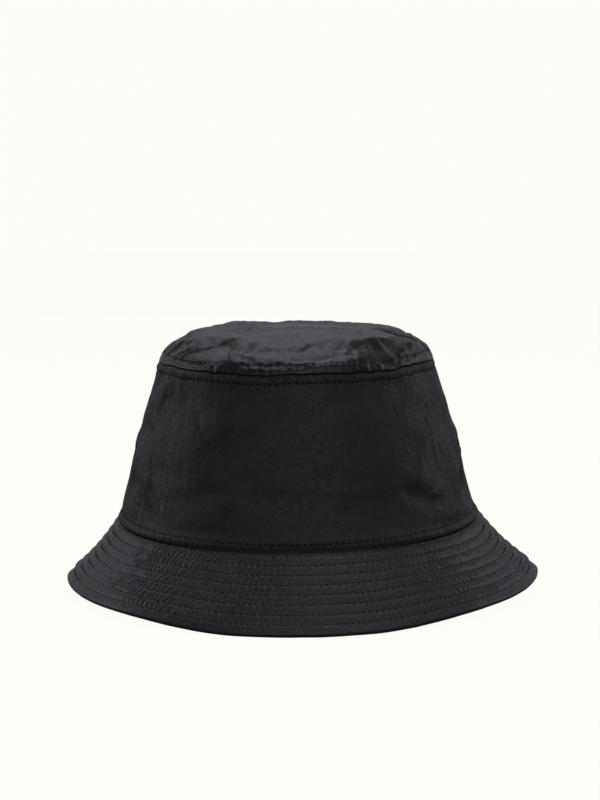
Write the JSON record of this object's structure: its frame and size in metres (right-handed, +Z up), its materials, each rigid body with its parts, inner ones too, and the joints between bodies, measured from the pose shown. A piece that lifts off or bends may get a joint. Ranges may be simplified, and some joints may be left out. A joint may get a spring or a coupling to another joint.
{
  "type": "bucket hat",
  "caption": "Soft bucket hat: domed oval tip, conical side band, and a short padded brim quilted with concentric stitch rows, lined and fitted with a sweatband.",
  "frame": {"origin": "centre of the oval, in the plane that the brim's edge rests on", "axes": "+Z up through the crown; -Y is the front of the hat, so the head faces -Y; X runs across the head"},
  "size_m": [0.235, 0.264, 0.128],
  "materials": {
    "shell_cloth": "crinkled nylon with a soft sheen",
    "brim_cloth": "the same nylon, quilted over a stiff interlining",
    "interlining": "stiff nonwoven",
    "lining_cloth": "smooth taffeta",
    "sweatband_cloth": "twill tape, matte",
    "label_cloth": "blank woven satin",
    "thread": "spun polyester thread, satin"
  },
  "bodies": {
    "hat": {"crown_tip": "shell_cloth", "crown_front_panel": "shell_cloth", "crown_back_panel": "shell_cloth", "brim_top_front": "brim_cloth", "brim_top_back": "brim_cloth", "brim_interlining": "interlining", "brim_underside_front": "brim_cloth", "brim_underside_back": "brim_cloth", "lining_tip": "lining_cloth", "lining_front_panel": "lining_cloth", "lining_back_panel": "lining_cloth", "sweatband": "sweatband_cloth", "size_label": "label_cloth", "care_label_tack": "thread", "eyelet_front_left": "thread", "eyelet_front_right": "thread", "eyelet_back_left": "thread", "eyelet_back_right": "thread", "tip_topstitch": "thread", "band_topstitch": "thread", "crown_base_topstitch": "thread", "sweatband_topstitch": "thread", "brim_stitch_row_1": "thread", "brim_stitch_row_2": "thread", "brim_stitch_row_3": "thread", "brim_stitch_row_4": "thread", "brim_stitch_row_5": "thread", "brim_stitch_row_6": "thread", "brim_stitch_row_7": "thread", "brim_stitch_row_8": "thread"},
    "hanging_label": {"care_label": "label_cloth"}
  },
  "joints": [
    {"name": "care_label_hinge", "type": "hinge", "parent": "hat", "child": "hanging_label", "pos_m": [0, 0.08354, 0.0929], "axis": [-1, 0, 0], "range_deg": [-15, 100]}
  ]
}
